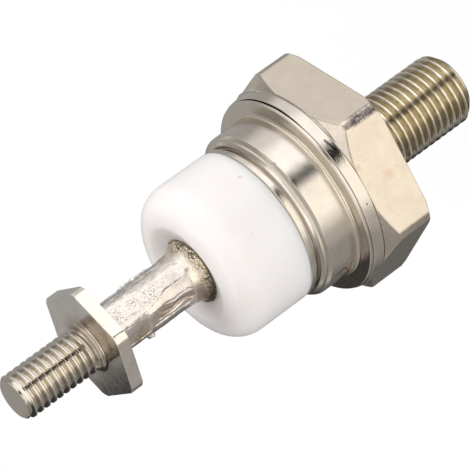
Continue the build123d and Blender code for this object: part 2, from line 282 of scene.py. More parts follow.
def lumps(radius, height, angle, size, seed):
    """Smooth noise from -1 to 1 at points on a turned surface, with lumps of a size in millimetres."""
    x, y = radius * np.cos(angle) / size, radius * np.sin(angle) / size
    z = height / size + np.zeros_like(x)
    flat = np.stack([x.ravel(), y.ravel(), z.ravel()], -1)
    values = [noise.noise(Vector(p) + Vector((seed, -seed, 2 * seed))) for p in flat]
    return np.array(values).reshape(x.shape)


def grids(points, angles):
    """Radius, height and angle of every point of a turned surface."""
    radius, angle = np.meshgrid(points[:, 0], angles, indexing="ij")
    height = np.repeat(points[:, 1][:, None], len(angles), 1)
    return radius, height, angle


def hexagon_angles(turn):
    """Directions round a hexagon, closer together by its turned corners."""
    offsets = np.array([0, 0.7, 1.2, 1.5, 1.7, 1.85, 2.0, 2.2, 2.6, 3.2])
    offsets = np.concatenate([offsets, np.arange(4, 30, 1.0)])
    sector = np.concatenate([-offsets[:0:-1], offsets, [30]])
    return np.radians(np.concatenate([sector + 60 * k for k in range(6)])) + turn


def edge_drop(height, low, high, edge):
    """How far a rounded edge pulls in the side of a slab, near its lower and upper faces."""
    inside = np.maximum(np.clip(low + edge - height, 0, edge), np.clip(height - high + edge, 0, edge))
    return edge - np.sqrt(edge * edge - inside * inside)


def hexagon_slab(bm, points, across_flats, turn, low, high, edge, blend):
    """Hexagon slab whose corners, chamfers and faces follow the turned half-section."""
    radius, height, angle = places = grids(points, hexagon_angles(turn))
    flat = hexagon_radius(angle, across_flats, turn) - edge_drop(height, low, high, edge)
    wear = lumps(*places, 1.3, 3.0) * 0.008 + lumps(*places, 0.35, 9.0) * 0.004
    corner = soft_step(-0.05, 0.08, flat - radius) * soft_step(0.2, 0.5, height - low)
    rough = np.minimum(0, lumps(*places, 0.5, 21.0)) * 0.05 * corner
    made = soft_min(radius, flat + wear, blend) + rough * (radius > radius.max() - 0.1)
    add_rings(bm, placed(made, height, angle))


def thread_samples(crest_share, root_share):
    """Places along one pitch, closer together at the edges of crest and root; the crest is at 0.5."""
    crest_edge, root_edge = 0.5 - crest_share / 2, root_share / 2
    places = [0, root_edge - 0.02, root_edge + 0.02, crest_edge - 0.03, crest_edge, crest_edge + 0.03, 0.5]
    if crest_share > 0.2:
        places.append(crest_edge + 0.06)
    places += list(np.linspace(root_edge + 0.02, crest_edge - 0.03, 6)[1:-1])
    places += [1 - place for place in places if 0 < place < 0.5]
    return np.array(sorted(set(places)))


def thread_depth(phase, crest_share, root_share):
    """Depth below the crest at a phase of the pitch, both from 0 to 1; the crest's edges are raised."""
    away = np.abs(phase - 0.5)
    flank = np.clip((away - crest_share / 2) / (0.5 - root_share / 2 - crest_share / 2), 0, 1)
    return flank - 0.04 * np.clip(1 - np.abs(away - crest_share / 2) / 0.03, 0, 1)


def threaded(bm, crest, pitch, shares, low, high, limit, seed, fade=None):
    """Adds a right-hand threaded rod between two heights. shares are the crest's and root's in the pitch,
    limit gives the largest radius at a height, and fade holds the heights over which the thread runs out.
    """
    depth = pitch * (1 - sum(shares)) / 2 * tan(radians(60))
    turns = int(ceil((high - low) / pitch)) + 2
    samples = thread_samples(*shares)
    phase = np.concatenate([samples + k for k in range(-1, turns)])
    angle = even_angles(THREAD_COLUMNS)[None, :]
    height = np.clip(low + pitch * (phase[:, None] + angle / (2 * pi)), low, high)
    where = ((height - low) / pitch - angle / (2 * pi)) % 1.0
    angle = angle + np.zeros_like(height)
    nicks = lumps(crest + 0 * height, height, angle, 0.7, seed)
    worn = crest + 0.008 * nicks - 0.05 * np.clip(nicks - 0.4, 0, 1)
    cut = soft_step(*fade, height) if fade else 1
    radius = worn - cut * depth * thread_depth(where, *shares)
    radius = np.minimum(radius, limit(height) + 0.008 * nicks)
    rod = bmesh.new()
    add_rings(rod, placed(radius, height, angle), shift=len(samples))
    merge_points(rod)
    bmesh.ops.holes_fill(rod, edges=[e for e in rod.edges if len(e.link_faces) == 1], sides=0)
    spare = bpy.data.meshes.new("rod")
    rod.to_mesh(spare)
    rod.free()
    bm.from_mesh(spare)
    bpy.data.meshes.remove(spare)


def base_and_stud(material):
    """Hexagon base with its pedestal and the threaded mounting stud."""
    seat = HEX_CORNER - SEAT_CHAMFER_DEPTH / tan(radians(SEAT_CHAMFER_ANGLE))
    chamfer = (HEX_CORNER - RING_RADIUS) * tan(radians(TOP_CHAMFER_ANGLE))
    bottom = section([(0.01, RECESS_DEPTH, 0), (RECESS_RADIUS, RECESS_DEPTH, 0.05), (RECESS_RADIUS, 0, 0.05),
                      (seat, 0, 0.1), (HEX_CORNER, SEAT_CHAMFER_DEPTH, 0.1), (HEX_CORNER, 1.4, 0)], 0.3)
    side = section([(HEX_CORNER, 1.4, 0), (HEX_CORNER, HEX_HEIGHT - chamfer, 0.15),
                    (RING_RADIUS, HEX_HEIGHT, 0)], 0.06)
    top = section([(RING_RADIUS, HEX_HEIGHT, 0), (PEDESTAL_RADIUS, HEX_HEIGHT, 0.0),
                   (PEDESTAL_RADIUS, base_high.z, 0.2), (0.01, base_high.z, 0)], 1.5)
    points = np.concatenate([bottom, side[1:], top[1:]])
    bm = bmesh.new()
    hexagon_slab(bm, points, HEX_ACROSS_FLATS, 0.0, 0, HEX_HEIGHT, 0.14, 0.035)
    stud_end = base_low.z

    def limit(height):
        chamfer = STUD_RADIUS - STUD_END_CHAMFER + (height - stud_end)
        relief = STUD_RELIEF_RADIUS + np.clip(-STUD_RELIEF_LENGTH - height, 0, 1)
        return np.minimum(chamfer, relief)

    threaded(bm, STUD_RADIUS, STUD_PITCH, STUD_SHARES, stud_end, RECESS_DEPTH + 0.3, limit, 5.0)
    piece("base_and_stud", bm, "hex_base", material)


def weld_collar(material):
    """Tapered ring between the base and the can."""
    foot, top = ring_low.z, ring_high.z - 0.01
    points = section([(PEDESTAL_RADIUS + 0.05, foot, 0), (RING_RADIUS, foot, 0.06),
                      (RING_RADIUS - RING_TAPER, top, RING_EDGE), (PEDESTAL_RADIUS + 0.05, top, 0)], 0.3)
    radius, height, angle = grids(points, even_angles())
    open_side = soft_step(SEAM_REACH[1], SEAM_REACH[0], np.abs(from_azimuth(angle, SEAM_AZIMUTH)))
    height = height - SEAM_GAP * open_side * soft_step(foot + 0.8, top, height)
    dents = lumps(radius, height, angle, 1.6, 31.0) * 0.008
    ring_piece("weld_collar", radius + dents, height, angle, "weld_ring", material)


def braze_line(material):
    """Braze under the weld ring: a fillet past the ring on its upper side, and set back elsewhere.

    The fillet stays within the part's width, which the ring gives on the sides with flats.
    """
    low, high = HEX_HEIGHT - 0.01, ring_low.z + 0.12
    points = section([(PEDESTAL_RADIUS + 0.06, low, 0), (RING_RADIUS, low, 0.01), (RING_RADIUS, high, 0.01),
                      (PEDESTAL_RADIUS + 0.06, high, 0)], 0.3)
    radius, height, angle = grids(points, even_angles())
    out = soft_step(62, 42, np.abs(from_azimuth(angle, BRAZE_SIDE_AZIMUTH)))
    share = soft_step(high, low, height)
    ragged = 0.03 * lumps(radius, height, angle, 1.5, 35.0)
    change = np.where(radius > RING_RADIUS - 0.1,
                      out * (0.25 * share - 0.03) - 0.2 * (1 - out) + ragged, 0)
    change = np.minimum(change, RING_RADIUS / np.maximum(np.abs(np.sin(angle)), 0.5) - radius)
    ring_piece("braze_line", radius + change, height, angle, "base_braze_ring", material)


def can_shell(material):
    """Drawn can: flange with a rounded rim, foot fillet, wall, shoulder and mouth."""
    foot = can_low.z + 0.01
    flange_top = can_low.z + FLANGE_THICKNESS
    inside, roof = CAN_RADIUS - CAN_WALL, can_high.z - CAN_WALL
    points = section([
        (inside, foot, 0), (FLANGE_RADIUS, foot, 0.05), (FLANGE_RADIUS, flange_top, 0.2),
        (CAN_RADIUS, flange_top, 0.45), (CAN_RADIUS, can_high.z - CAN_SHOULDER_DEPTH, 0.12),
        (CAN_RADIUS - 0.34, can_high.z - 0.56, 0.05), (CAN_RADIUS - 0.42, can_high.z - 0.54, 0.03),
        (CAN_RADIUS - 0.52, can_high.z - 0.3, 0.05), (CAN_RADIUS - CAN_SHOULDER_WIDTH, can_high.z, 0.12),
        (CAN_MOUTH_RADIUS, can_high.z, 0.1),
        (CAN_MOUTH_RADIUS, roof, 0), (inside, roof, 0.4), (inside, foot, 0),
    ], 0.3)
    radius, height, angle = places = grids(points[:-1], even_angles())
    dents = lumps(*places, 4.0, 41.0) * 0.02 + lumps(*places, 0.9, 43.0) * 0.005
    ring_piece("can_shell", radius + dents, height, angle, "housing_can", material)


def seal_groove(material):
    """Grooved ring between the can's mouth and the ceramic."""
    band_foot = seal_high.z - SEAL_BAND_HEIGHT
    bore = SEAL_GROOVE_RADIUS - SEAL_WALL
    points = section([
        (bore, seal_low.z, 0), (SEAL_GROOVE_RADIUS - 0.02, seal_low.z, 0.05),
        (SEAL_GROOVE_RADIUS - 0.02, band_foot, 0.1), (SEAL_BAND_RADIUS, band_foot, 0.14),
        (SEAL_BAND_RADIUS, seal_high.z, 0.2), (bore, seal_high.z, 0),
    ], 0.25)
    radius, height, angle = grids(points, even_angles())
    dents = lumps(radius, height, angle, 1.1, 51.0) * 0.015
    ring_piece("seal_groove", radius + dents, height, angle, "sealing_ring", material)


def insulator_body(material):
    """White ceramic insulator with a well-rounded front."""
    roof = ceramic_high.z - CERAMIC_ROOF
    inside = CERAMIC_RADIUS - CERAMIC_WALL
    dish = [(DISH_RIM + (BRAZE_RADIUS - DISH_RIM) * share, ceramic_high.z - DISH_DEPTH * share ** 1.1, 0)
            for share in np.linspace(0, 1, 14)]
    points = section([
        (inside, ceramic_low.z - 0.06, 0), (CERAMIC_RADIUS, ceramic_low.z - 0.06, 0.25),
        (CERAMIC_RADIUS, ceramic_high.z, CERAMIC_ROUNDING), *dish,
        (CERAMIC_BORE, ceramic_high.z - DISH_DEPTH, 0.1),
        (CERAMIC_BORE, roof, 0), (inside, roof, 0.5),
    ], 0.5, 6)
    radius, height, angle = grids(points, even_angles(192))
    waves = lumps(radius, height, angle, 3.0, 61.0) * 0.008
    ring_piece("insulator_body", radius + waves, height, angle, "ceramic_insulator", material)


def from_azimuth(angle, azimuth):
    """Difference in degrees between angles and an azimuth."""
    return (np.degrees(angle) - azimuth + 180) % 360 - 180


def ridge_along(angle, height, points, width):
    """Height from 0 to 1 of a ridge along a curve of (height, azimuth) points on the tube, width in mm."""
    levels, azimuths = zip(*points)
    line = np.interp(height, levels, azimuths)
    off = from_azimuth(angle, 0) - line
    across = radians(1) * TUBE_RADIUS * off / width
    foot, top = levels[0], levels[-1]
    ends = soft_step(foot - 0.2, foot + 0.2, height) * soft_step(top + 0.2, top - 0.2, height)
    return np.exp(-across ** 2) * ends


def crimp_depth(height):
    """Depth of the crimps below the round tube at each height; the upper one steps down into the lower."""
    (foot, middle_low, shallow), (middle_high, top, deep) = CRIMPS
    depth = shallow + (deep - shallow) * soft_step(middle_low, middle_high, height)
    return depth * soft_step(foot - 0.3, foot + 1.0, height) * soft_step(top + 0.3, top - 0.3, height)


def crimped_tube(material):
    """Terminal tube with two hexagonal crimps, fins squeezed out between the dies, folds, pits and burr."""
    turn = radians(PLATE_TURN)
    shown_foot, end_height = braze_low.z + 0.3, PLATE_SEAT + 0.02
    hidden = section([(TUBE_BORE, tube_low.z, 0), (TUBE_RADIUS, tube_low.z, 0),
                      (TUBE_RADIUS, shown_foot, 0)], 0.8)
    shown = section([(TUBE_RADIUS, shown_foot, 0), (TUBE_RADIUS, end_height, 0)], 0.1)
    end = section([(TUBE_RADIUS, end_height, 0), (TUBE_BORE, end_height, 0)], 0.8)
    radius, height, angle = places = grids(np.concatenate([hidden, shown[1:], end[1:]]), even_angles(320))
    outside = radius > TUBE_RADIUS - 0.01
    crimped = outside * soft_step(braze_high.z - 1.2, braze_high.z, height)
    sway = radians(3) * lumps(*places, 1.3, 77.0)
    from_corner = (angle - turn + sway + pi / 6) % (pi / 3) - pi / 6
    depth = crimp_depth(height)
    flat = (TUBE_RADIUS - depth) / np.cos(pi / 6 - np.abs(from_corner))
    wobble = lumps(*places, 1.2, 71.0) * 0.025 + lumps(*places, 0.35, 73.0) * 0.012
    pressed = np.where(flat < radius, wobble, 0.4 * wobble)
    flare = FLARE * np.clip((FLARE_TOP - height) / (FLARE_TOP - braze_high.z), 0, 1.2) ** 2
    made = np.where(outside, soft_min(radius, flat, 0.012) + pressed + flare, radius)
    rim = np.arccos(np.clip((TUBE_RADIUS - depth) / TUBE_RADIUS, -1, 1))
    seam = (np.abs(from_corner) - (pi / 6 - rim)) * TUBE_RADIUS
    ragged = np.clip(0.55 + 0.9 * lumps(*places, 0.8, 75.0), 0.1, 1.2)
    made += 0.07 * ragged * np.exp(-(seam / 0.07) ** 2) * crimped
    made -= 0.06 * ragged * np.exp(-((seam - 0.14) / 0.06) ** 2) * crimped
    for side, strong, foot, top in FINS:
        uneven = np.clip(0.75 + 0.8 * lumps(radius, height, np.zeros_like(angle), 0.7, side), 0.25, 1.2)
        along = soft_step(foot - 0.4, foot + 0.4, height) * soft_step(top + 0.4, top - 0.4, height)
        made += outside * strong * uneven * along * np.exp(-(from_azimuth(angle, side) / 2.0) ** 2)
    away = np.hypot(from_azimuth(angle, BURR[0]) / 13, (height - BURR[1]) / 0.65)
    made += outside * 0.5 * soft_step(1, 0.5, away)
    near_fold = ridge_along(angle, height, ((27.7, -64.0), (29.0, -58.0), (30.6, -63.0), (33.0, -62.0)), 0.1)
    far_fold = ridge_along(angle, height, ((27.6, -45.0), (29.2, -40.0), (30.3, -43.0), (31.6, -38.0)), 0.09)
    between = ridge_along(angle, height, ((28.4, -52.0), (29.8, -50.0), (31.0, -54.0), (32.2, -50.0)), 0.2)
    step = np.exp(-((height - 32.6 - 0.03 * from_azimuth(angle, -50)) / 0.12) ** 2
                  - (from_azimuth(angle, -52) / 8) ** 2)
    made += outside * (0.09 * near_fold + 0.07 * far_fold + 0.08 * step - 0.07 * between)
    pits = np.clip(lumps(*places, 0.2, 81.0) - 0.25, 0, 1) * 0.22
    patch = np.exp(-(from_azimuth(angle, 5) / 12) ** 2 - ((height - 37.7) / 1.0) ** 2)
    patch += np.exp(-(from_azimuth(angle, 2) / 14) ** 2 - ((height - 32.2) / 1.7) ** 2)
    patch += 0.25 * np.clip(lumps(*places, 1.5, 83.0) * 2, 0, 1)
    made -= outside * pits * np.clip(patch, 0, 1)
    ring_piece("crimped_tube", made, height, angle, "terminal_tube", material)


def braze_collar(material):
    """Fillet of braze that flares smoothly from the tube, with a grainy outer rim."""
    low, high = braze_low.z, braze_high.z
    steps = np.linspace(0, 1, 30)
    corner = np.array((TUBE_RADIUS + 0.26, low + 0.7))
    ends = np.array((BRAZE_RADIUS, low + 0.12)), np.array((TUBE_RADIUS + 0.09, high + 0.15))
    curve = [(1 - t) ** 2 * ends[0] + 2 * t * (1 - t) * corner + t * t * ends[1] for t in steps]
    points = np.concatenate([[(TUBE_RADIUS - 0.1, low - 0.05), (BRAZE_RADIUS - 0.02, low - 0.05)], curve,
                             [(TUBE_RADIUS - 0.1, high)]])
    radius, height, angle = places = grids(points, even_angles(288))
    rim = soft_step(low + 1.3, low + 0.3, height)
    grain = lumps(*places, 0.22, 91.0) * 0.07 + lumps(*places, 0.5, 92.0) * 0.05
    swell = lumps(*places, 1.6, 93.0) * 0.05 * soft_step(high, high - 0.6, height)
    pull = (grain * rim + swell) * (height > low + 0.05) * (radius > TUBE_RADIUS)
    spur = 0.35 * np.exp(-(from_azimuth(angle, 36) / 4) ** 2)
    ragged = (0.1 * lumps(radius, height * 0, angle, 1.2, 97.0) + spur) * soft_step(3.9, 4.3, radius)
    ring_piece("braze_collar", radius + pull + ragged, height + 0.6 * pull, angle,
               "terminal_braze", material)


def terminal_post(material):
    """Hexagon plate with a flared neck and the threaded post, and the shank inside the tube."""
    corner = PLATE_ACROSS_FLATS / 2 / cos(radians(30)) - PLATE_CORNER_TRIM
    shank = TUBE_BORE - 0.02
    neck_top = POST_THREAD_FOOT - 0.05
    low = section([(0.01, post_low.z, 0), (shank, post_low.z, 0), (shank, PLATE_SEAT, 0),
                   (corner, PLATE_SEAT, 0.12), (corner, PLATE_SEAT + 0.4, 0)], 0.4)
    high = section([(corner, PLATE_SEAT + 0.4, 0), (corner, PLATE_FACE, 0.12),
                    (POST_NECK_RADIUS, PLATE_FACE, POST_FILLET), (POST_NECK_RADIUS, neck_top, 0),
                    (0.01, neck_top, 0)], 0.12)
    bm = bmesh.new()
    hexagon_slab(bm, np.concatenate([low, high[1:]]), PLATE_ACROSS_FLATS, radians(PLATE_TURN), PLATE_SEAT,
                 PLATE_FACE, 0.1, 0.03)
    end = post_high.z

    def limit(height):
        turned = 0.012 * np.sin((end - height) * 2 * pi / 0.16)
        return POST_RADIUS - POST_END_CHAMFER + (end - height) - turned

    fade = (POST_THREAD_FOOT - 0.1, POST_THREAD_FOOT + 0.6)
    threaded(bm, POST_RADIUS, POST_PITCH, POST_SHARES, PLATE_FACE + 0.2, end, limit, 11.0, fade)
    piece("terminal_post", bm, "terminal_stud", material)


def link(source, target):
    """Links two sockets of a node tree."""
    target.id_data.links.new(source, target)


def add(kind, inputs, tree=None, **settings):
    """New shader node; inputs are values or sockets to link, whose tree it joins where none is given."""
    sockets = {name: value for name, value in inputs.items() if isinstance(value, bpy.types.NodeSocket)}
    tree = tree or next(iter(sockets.values())).id_data
    made = tree.nodes.new("ShaderNode" + kind)
    for name, value in settings.items():
        setattr(made, name, value)
    for name, value in inputs.items():
        if name in sockets:
            link(value, made.inputs[name])
        else:
            made.inputs[name].default_value = value
    return made


def new_material(name, metallic, roughness):
    """Material with a Principled shader, and its object coordinates."""
    made = bpy.data.materials.new(name)
    made.use_nodes = True
    tree = made.node_tree
    shader = tree.nodes["Principled BSDF"]
    shader.inputs["Metallic"].default_value = metallic
    shader.inputs["Roughness"].default_value = roughness
    return made, shader, add("TexCoord", {}, tree).outputs["Object"]


def maths(operation, first, second=0.0):
    """Result of a two-value operation."""
    return add("Math", {0: first, 1: second}, operation=operation).outputs[0]


def times(first, *others):
    """Product of several values."""
    for other in others:
        first = maths("MULTIPLY", first, other)
    return first


def together(values):
    """Largest of several values."""
    made = values[0]
    for value in values[1:]:
        made = maths("MAXIMUM", made, value)
    return made


def span(value, low, high, to_low=0, to_high=1):
    """Value mapped from one span to another and clamped there."""
    inputs = {"Value": value, "From Min": low, "From Max": high, "To Min": to_low, "To Max": to_high}
    return add("MapRange", inputs).outputs["Result"]


def noise_value(where, size, detail=3.0, roughness=0.55):
    """Noise from about 0.25 to 0.75 with lumps of the given size in millimetres."""
    inputs = {"Vector": where, "Scale": 1 / (size * MM), "Detail": detail, "Roughness": roughness}
    return add("TexNoise", inputs).outputs["Fac"]


def patches(where, size, detail, low, high, share=1):
    """Patches of noise, from 0 to a share, whose edges lie between two values of the noise."""
    return span(noise_value(where, size, detail), low, high, 0, share)


def cell_distance(where, size):
    """Distance from the middle of the nearest cell, of cells of the given size in millimetres."""
    return add("TexVoronoi", {"Vector": where, "Scale": 1 / (size * MM)}, feature="F1").outputs["Distance"]


def mix(factor, first, second):
    """Mix of two colours or colour sockets."""
    first, second = ((*colour, 1) if isinstance(colour, tuple) else colour for colour in (first, second))
    return add("Mix", {0: factor, 6: first, 7: second}, data_type="RGBA").outputs[2]


def bump(shader, height, depth):
    """Bump of the given depth in millimetres for a height from 0 to 1."""
    made = add("Bump", {"Height": height, "Distance": depth * MM, "Strength": 1.0})
    link(made.outputs["Normal"], shader.inputs["Normal"])


def mark(shader, colour, share, stain):
    """Paints a share of a stain's colour over a colour, and gives the shader the result."""
    made = mix(share, colour, stain)
    link(made, shader.inputs["Base Color"])
    return made


def polish(shader, share, gloss):
    """Gives a share of a surface another roughness."""
    plain = shader.inputs["Roughness"].links[0].from_socket
    link(span(share, 0, 1, plain, gloss), shader.inputs["Roughness"])


def place_parts(where):
    """X, Y and Z of a position in metres."""
    return add("SeparateXYZ", {"Vector": where}).outputs


def radius_value(parts):
    """Distance from the object's axis, in millimetres."""
    flat = add("CombineXYZ", {"X": parts["X"], "Y": parts["Y"]})
    length = add("VectorMath", {0: flat.outputs[0]}, operation="LENGTH").outputs["Value"]
    return maths("DIVIDE", length, MM)


def vector_maths(operation, first, second):
    """Outputs of an operation on two vectors."""
    return add("VectorMath", {0: first, 1: second}, operation=operation).outputs


def scaled(vector, factor):
    """Vector times a factor."""
    return add("VectorMath", {0: vector, "Scale": factor}, operation="SCALE").outputs[0]


def on_part(azimuth, radius, height):
    """Place in metres from an azimuth in degrees and a radius and height in millimetres."""
    a = radians(azimuth)
    return Vector((radius * cos(a), radius * sin(a), height)) * MM


def stroke(where, start, end, width):
    """1 within a width in millimetres of the line between two places, falling softly to 0."""
    along = end - start
    back = vector_maths("SUBTRACT", where, start)[0]
    share = span(vector_maths("DOT_PRODUCT", back, along / along.dot(along))["Value"], 0, 1)
    gap = vector_maths("DISTANCE", back, scaled(along, share))["Value"]
    return span(gap, 0.6 * width * MM, width * MM, 1, 0)


def strokes(where, places, width):
    """Line of the given width through several places."""
    return together([stroke(where, start, end, width) for start, end in zip(places, places[1:])])


def spot(where, centre, size, soft=0.5):
    """1 inside a round spot of the given radius in millimetres, falling to 0 over its soft share."""
    gap = vector_maths("DISTANCE", where, centre)["Value"]
    return span(gap, (1 - soft) * size * MM, size * MM, 1, 0)


def wavered(where, size, reach):
    """Position pushed about by noise, so that marks get ragged edges. Sizes are in millimetres."""
    push = add("TexNoise", {"Vector": where, "Scale": 1 / (size * MM), "Detail": 3.0})
    centred = vector_maths("SUBTRACT", push.outputs["Color"], (0.5, 0.5, 0.5))[0]
    return vector_maths("ADD", where, scaled(centred, reach * MM))[0]


def plated_metal(name, light, dark, gloss, grain=0.01, pits=0.6):
    """Satin nickel plate with soft stains, fine grain and small pits."""
    made, shader, where = new_material(name, 1.0, gloss)
    stain = patches(where, 2.6, 4.0, 0.35, 0.65)
    pit = times(span(cell_distance(where, 0.55), 0.05, 0.13, 1, 0),
                patches(where, 1.1, 2.0, 0.56, 0.62), pits)
    colour = mark(shader, mix(stain, dark, light), pit, tuple(0.45 * c for c in dark))
    uneven = span(noise_value(where, 0.9, 5.0), 0.3, 0.7, 0.8 * gloss, 1.25 * gloss)
    link(uneven, shader.inputs["Roughness"])
    bump(shader, maths("SUBTRACT", noise_value(where, 0.12, 4.0, 0.6), pit), grain)
    return made, shader, where, colour


def scuffs(where, parts, radius):
    """Share of dark scratches on the blunted corners of the base, strongest on the near corner."""
    squeezed = vector_maths("MULTIPLY", where, (0.4, 0.4, 2.2))[0]
    scratch = span(noise_value(squeezed, 0.3, 4.0, 0.7), 0.36, 0.62, 0.2, 1)
    edge = span(radius, HEX_CORNER - 0.14, HEX_CORNER - 0.08)
    near = span(parts["X"], (HEX_CORNER - 1.5) * MM, (HEX_CORNER - 0.8) * MM, 0.25, 1)
    wall = span(parts["Z"], 3.9 * MM, 4.6 * MM, 1, 0)
    return times(scratch, edge, near, wall)


def base_metal():
    """Nickel plate over copper, with a scuffed corner, yellowed grooves on the mounting thread and painted
    shade by its crests.
    """
    made, shader, where, colour = plated_metal(
        "plated_base", (0.68, 0.595, 0.5), (0.63, 0.55, 0.455), 0.24, pits=0.9)
    parts = place_parts(where)
    radius = radius_value(parts)
    ragged = wavered(where, 0.8, 0.9)
    smear = together([spot(ragged, on_part(-31, 13.4, 2.8), 0.9, 0.8),
                      spot(ragged, on_part(-19, 13.7, 6.1), 0.6, 0.8)])
    colour = mark(shader, colour, times(smear, 0.35), (0.55, 0.3, 0.2))
    colour = mark(shader, colour, scuffs(where, parts, radius), (0.17, 0.15, 0.155))
    olive = mix(patches(where, 0.9, 3.0, 0.4, 0.65), (0.5, 0.44, 0.3), (0.56, 0.5, 0.37))
    # Painted shade: a dark line beside each crest of the stud's thread stands for the shadow of the hidden
    # flank
    beside_crest = maths("ABSOLUTE", maths("SUBTRACT", radius, STUD_RADIUS - 0.2))
    line = times(span(beside_crest, 0.02, 0.08, 0.6, 0), patches(where, 1.0, 3.0, 0.4, 0.55))
    olive = mix(line, olive, (0.12, 0.09, 0.07))
    crest = mix(patches(where, 1.2, 3.0, 0.4, 0.6), (0.62, 0.55, 0.45), (0.8, 0.71, 0.66))
    groove = span(radius, STUD_RADIUS - 0.16, STUD_RADIUS - 0.05, 1, 0)
    stud = span(parts["Z"], -0.4 * MM, 0, 1, 0)
    mark(shader, colour, stud, mix(groove, crest, olive))
    polish(shader, stud, 0.12)
    return made


def ring_metal():
    """Bright nickel of the weld ring, with a painted dark reflection stroke and a pit on its near side."""
    made, shader, where, colour = plated_metal("plated_ring", NICKEL, (0.65, 0.59, 0.52), 0.09)
    ragged = wavered(where, 0.3, 0.3)
    side = RING_RADIUS - 0.05
    # Painted reflection: a dark ragged stroke on the near side, where the ring mirrors the dark gap
    painted_reflection_stroke = stroke(ragged, on_part(1.6, side, 7.3), on_part(-5.2, side, 7.0), 0.2)
    pit = spot(ragged, on_part(-37.0, side, 7.25), 0.16)
    mark(shader, colour, times(together([painted_reflection_stroke, pit]), 0.8), (0.04, 0.035, 0.03))
    return made


def can_metal():
    """Satin nickel of the can, with a red ink scribble on its lower side, a soft painted dark reflection and
    a nick.
    """
    made, shader, where, colour = plated_metal("plated_can", NICKEL, DARK_NICKEL, 0.17)
    height = place_parts(where)["Z"]
    for foot, top in ((can_low.z + 0.3, can_low.z + 1.1), (can_high.z - 1.0, can_high.z - 0.2)):
        middle = (foot + top) / 2
        near = span(height, foot * MM, middle * MM)
        far = span(height, middle * MM, top * MM, 1, 0)
        colour = mark(shader, colour, times(near, far, 0.5), (0.7, 0.61, 0.42))
    ink = wavered(where, 0.5, 0.2)
    scribble = strokes(ink, [on_part(azimuth, CAN_RADIUS, level) for azimuth, level in SCRIBBLE], 0.2)
    colour = mark(shader, colour, times(scribble, 0.85), (0.5, 0.06, 0.04))
    # Painted reflection: a soft dark spot on the can, where it mirrors the dark gap
    painted_dark_reflection = spot(ink, on_part(-4.5, CAN_RADIUS, 12.7), 0.5, 0.9)
    nick = spot(ink, on_part(11.6, CAN_RADIUS, can_high.z - 0.85), 0.2)
    mark(shader, colour, times(together([painted_dark_reflection, nick]), 0.6), (0.2, 0.18, 0.18))
    return made


def post_metal():
    """Nickel plate of the terminal, glossier on the post and browned round its foot."""
    made, shader, where, colour = plated_metal(
        "plated_post", (0.75, 0.695, 0.63), (0.68, 0.625, 0.56), 0.18, grain=0.006)
    parts = place_parts(where)
    radius = radius_value(parts)
    above = span(parts["Z"], PLATE_FACE * MM, (PLATE_FACE + 0.8) * MM)
    groove = span(radius, POST_RADIUS - 0.2, POST_RADIUS - 0.08, 1, 0)
    colour = mix(above, colour, (0.62, 0.57, 0.515))
    colour = mix(times(groove, above), colour, (0.56, 0.505, 0.425))
    fillet = span(radius, POST_RADIUS + 0.2, POST_RADIUS + 1.8, 1, 0)
    below = span(parts["Z"], POST_THREAD_FOOT * MM, (POST_THREAD_FOOT + 0.5) * MM, 0.7, 0)
    mark(shader, colour, times(fillet, below), (0.44, 0.36, 0.26))
    polish(shader, above, 0.08)
    return made


def creases(where, places, width):
    """Broken dark line through places on the tube, given as azimuth and height."""
    points = [on_part(azimuth, TUBE_RADIUS - 0.05, level) for azimuth, level in places]
    return times(strokes(where, points, width), patches(where, 0.7, 2.0, 0.38, 0.6))


def tube_metal():
    """Bright plate of the crimped tube, with dark creases and pits, worn to copper along the fold."""
    made, shader, where, colour = plated_metal(
        "plated_tube", TUBE_PLATE, (0.66, 0.595, 0.54), 0.21, grain=0.035, pits=1.0)
    ragged = wavered(where, 0.5, 0.3)
    fold = [on_part(azimuth, TUBE_RADIUS, level)
            for azimuth, level in ((-54, 27.8), (-50, 30.0), (-59, 32.4))]
    worn = together([stroke(ragged, *fold[:2], 0.5), stroke(ragged, *fold[1:], 0.42)])
    colour = mark(shader, colour, times(worn, 0.6), (0.36, 0.22, 0.15))
    foot = [on_part(*place) for place in ((-75, 3.2, 38.5), (-62, 3.1, 34.6), (-42, 3.2, 31.5))]
    foot = together([stroke(ragged, *foot[:2], 1.3), stroke(ragged, *foot[1:], 0.8)])
    colour = mark(shader, colour, times(foot, 0.6), (0.46, 0.36, 0.25))
    upper = creases(ragged, ((42.2, 37.7), (39.8, 35.3), (42.5, 31.2), (52.4, 27.5)), 0.12)
    lower = creases(ragged, ((-27.4, 37.6), (-26.1, 34.7), (-20.0, 32.4), (-9.7, 30.9), (-9.7, 27.2)), 0.12)
    rough = together([spot(ragged, on_part(azimuth, TUBE_RADIUS, level), size, soft)
                      for azimuth, level, size, soft in ROUGH_PATCHES])
    specks = times(patches(where, 0.19, 2.0, 0.53, 0.59), rough, 0.8)
    dark = together([times(upper, 0.7), times(lower, 0.8), specks])
    mark(shader, colour, dark, (0.14, 0.11, 0.09))
    return made


